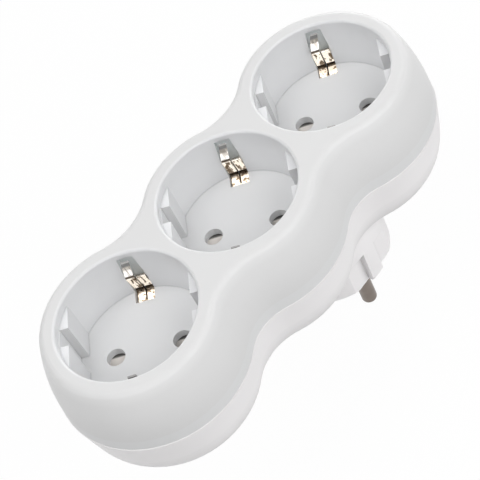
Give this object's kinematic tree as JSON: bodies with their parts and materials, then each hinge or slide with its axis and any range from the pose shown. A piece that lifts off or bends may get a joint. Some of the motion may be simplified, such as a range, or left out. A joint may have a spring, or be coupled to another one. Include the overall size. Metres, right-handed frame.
{
  "type": "multi socket adapter",
  "caption": "White lobed mains adapter with deep round sockets in a row, earth clips and sliding shutters, and an earthed round-pin plug on the back.",
  "frame": {"origin": "centre of the plug's pin face, between the two pins", "axes": "+Z out of the sockets' mouths, +X along the row of sockets, +Y across it"},
  "size_m": [0.1438, 0.0568, 0.0773],
  "materials": {
    "front_plastic": "satin",
    "rear_plastic": "satin",
    "nickel": "plated",
    "brass": "bright",
    "rivet_steel": "plain",
    "screw_steel": "zinc plated",
    "spring_steel": "plain",
    "shutter_plastic": "matt",
    "tray_plastic": "matt"
  },
  "bodies": {
    "housing": {"contact_rivets": "rivet_steel", "earth_bar": "brass", "earth_bracket_1": "nickel", "earth_bracket_2": "nickel", "earth_bracket_3": "nickel", "front_housing": "front_plastic", "housing_screws": "screw_steel", "live_bar": "brass", "live_jaw_1": "brass", "live_jaw_2": "brass", "live_jaw_3": "brass", "live_pin": "nickel", "neutral_bar": "brass", "neutral_jaw_1": "brass", "neutral_jaw_2": "brass", "neutral_jaw_3": "brass", "neutral_pin": "nickel", "plug_earth_strap_left": "nickel", "plug_earth_strap_right": "nickel", "rear_housing": "rear_plastic", "shutter_spring_1": "spring_steel", "shutter_spring_2": "spring_steel", "shutter_spring_3": "spring_steel", "shutter_tray_1": "tray_plastic", "shutter_tray_2": "tray_plastic", "shutter_tray_3": "tray_plastic"},
    "shutter_body_1": {"shutter_1": "shutter_plastic"},
    "shutter_body_2": {"shutter_2": "shutter_plastic"},
    "shutter_body_3": {"shutter_3": "shutter_plastic"}
  },
  "joints": [
    {"name": "shutter_slide_1", "type": "slide", "parent": "housing", "child": "shutter_body_1", "axis": [0.7071, 0.7071, 0], "range_m": [0, 0.0065], "stiffness_N_per_m": 150, "springref_m": -0.002, "deforming": ["shutter_spring_1"]},
    {"name": "shutter_slide_2", "type": "slide", "parent": "housing", "child": "shutter_body_2", "axis": [0.7071, 0.7071, 0], "range_m": [0, 0.0065], "stiffness_N_per_m": 150, "springref_m": -0.002, "deforming": ["shutter_spring_2"]},
    {"name": "shutter_slide_3", "type": "slide", "parent": "housing", "child": "shutter_body_3", "axis": [0.7071, 0.7071, 0], "range_m": [0, 0.0065], "stiffness_N_per_m": 150, "springref_m": -0.002, "deforming": ["shutter_spring_3"]}
  ]
}
